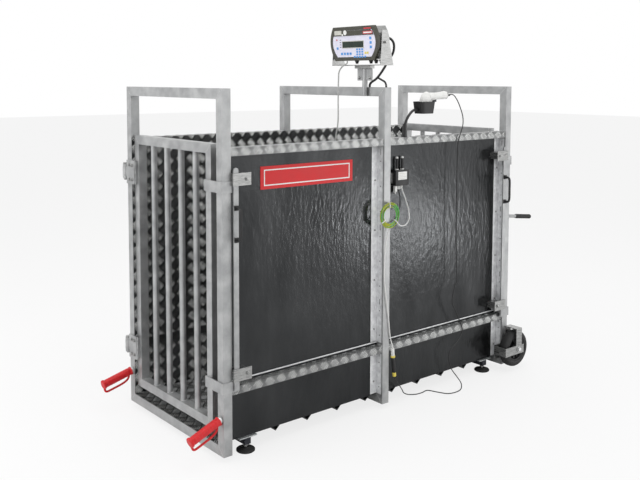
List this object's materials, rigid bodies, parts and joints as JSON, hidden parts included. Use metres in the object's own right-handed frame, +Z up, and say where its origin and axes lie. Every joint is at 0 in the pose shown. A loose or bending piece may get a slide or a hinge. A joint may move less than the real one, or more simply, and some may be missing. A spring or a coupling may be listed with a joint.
{
  "type": "animal weighing crate",
  "caption": "Walk-through animal weighing crate with tread plate walls, barred gates with lift locks, load cell feet, wheels, tilting indicator and reader on a bent neck.",
  "frame": {"origin": "middle of the crate's underside, where its feet stand, measured without the loose cables", "axes": "+X from the front gate with the red grips to the rear gate with the wheels, +Y from the operator's side to the hinge side, +Z up"},
  "size_m": [2.1934, 0.98, 1.8063],
  "materials": {
    "aluminium": "satin",
    "black_plastic": "satin",
    "dark_bezel": "satin",
    "dark_metal": "satin",
    "earth_cable": "satin",
    "grey_plastic": "satin",
    "pale_film": "satin",
    "red_rubber": "satin",
    "red_sign": "gloss",
    "rubber": "matt",
    "steel": "satin",
    "tread_plate": "bright mill finish",
    "tyre": "matt",
    "white_plastic": "satin"
  },
  "bodies": {
    "frame": {"front_hoop": "aluminium", "middle_hoop": "aluminium", "rear_hoop": "aluminium", "floor_plate": "tread_plate", "near_wall": "tread_plate", "far_wall": "tread_plate", "near_skirt": "tread_plate", "far_skirt": "tread_plate", "front_lower_hinge_pin": "steel", "rear_lower_hinge_pin": "steel", "front_upper_hinge_pin": "steel", "rear_upper_hinge_pin": "steel", "front_lower_guide": "steel", "rear_lower_guide": "steel", "front_upper_guide": "steel", "rear_upper_guide": "steel", "near_wheel_cage": "steel", "far_wheel_cage": "steel", "near_front_load_cell": "dark_metal", "near_front_foot": "rubber", "near_front_saddle": "steel", "far_front_load_cell": "dark_metal", "far_front_foot": "rubber", "far_front_saddle": "steel", "near_rear_load_cell": "dark_metal", "near_rear_foot": "rubber", "near_rear_saddle": "steel", "far_rear_load_cell": "dark_metal", "far_rear_foot": "rubber", "far_rear_saddle": "steel", "near_grip": "red_rubber", "far_grip": "red_rubber", "indicator_yoke": "steel", "indicator_mast": "aluminium", "sign_plate": "red_sign", "junction_box": "white_plastic", "rear_pull_grip": "black_plastic", "scanner_stand": "black_plastic", "scanner_cord": "black_plastic", "inline_connector": "black_plastic", "white_lead": "white_plastic", "junction_lead": "white_plastic", "earth_coil": "earth_cable", "grey_cable": "grey_plastic", "conduit": "steel"},
    "front_gate": {"front_gate": "aluminium"},
    "rear_gate": {"rear_gate": "aluminium"},
    "front_lock": {"front_lock_bar": "aluminium", "front_bow_handle": "black_plastic"},
    "rear_lock": {"rear_lock_bar": "aluminium", "rear_bow_handle": "black_plastic"},
    "near_wheel": {"near_tyre": "tyre", "near_rim": "black_plastic"},
    "far_wheel": {"far_tyre": "tyre", "far_rim": "black_plastic"},
    "indicator": {"indicator_bezel": "dark_bezel", "indicator_keypad": "pale_film", "indicator_housing": "steel"},
    "scanner": {"scanner": "white_plastic"},
    "scanner_trigger": {"scanner_trigger": "dark_metal"}
  },
  "joints": [
    {"name": "front_gate_hinge", "type": "hinge", "parent": "frame", "child": "front_gate", "pos_m": [-0.9405, 0.421, 0.7], "axis": [0, 0, -1], "range_deg": [0, 42]},
    {"name": "rear_gate_hinge", "type": "hinge", "parent": "frame", "child": "rear_gate", "pos_m": [0.8901, 0.421, 0.7], "axis": [0, 0, 1], "range_deg": [0, 90]},
    {"name": "front_lock_lift", "type": "slide", "parent": "frame", "child": "front_lock", "axis": [0, 0, 1], "range_m": [0, 0.05]},
    {"name": "rear_lock_lift", "type": "slide", "parent": "frame", "child": "rear_lock", "axis": [0, 0, 1], "range_m": [0, 0.05]},
    {"name": "near_wheel_spin", "type": "hinge", "parent": "frame", "child": "near_wheel", "pos_m": [0.8928, -0.443, 0.118], "axis": [0, 1, 0], "continuous": true},
    {"name": "far_wheel_spin", "type": "hinge", "parent": "frame", "child": "far_wheel", "pos_m": [0.8928, 0.443, 0.118], "axis": [0, 1, 0], "continuous": true},
    {"name": "indicator_tilt", "type": "hinge", "parent": "frame", "child": "indicator", "pos_m": [-0.0922, -0.281, 1.729], "axis": [0, 1, 0], "range_deg": [-15, 20], "deforming": ["grey_cable"]},
    {"name": "scanner_lift", "type": "slide", "parent": "frame", "child": "scanner", "axis": [0, 0, 1], "range_m": [0, 0.08]},
    {"name": "scanner_trigger_press", "type": "slide", "parent": "scanner", "child": "scanner_trigger", "axis": [0, 0, 1], "range_m": [0, 0.003], "stiffness_N_per_m": 600}
  ]
}
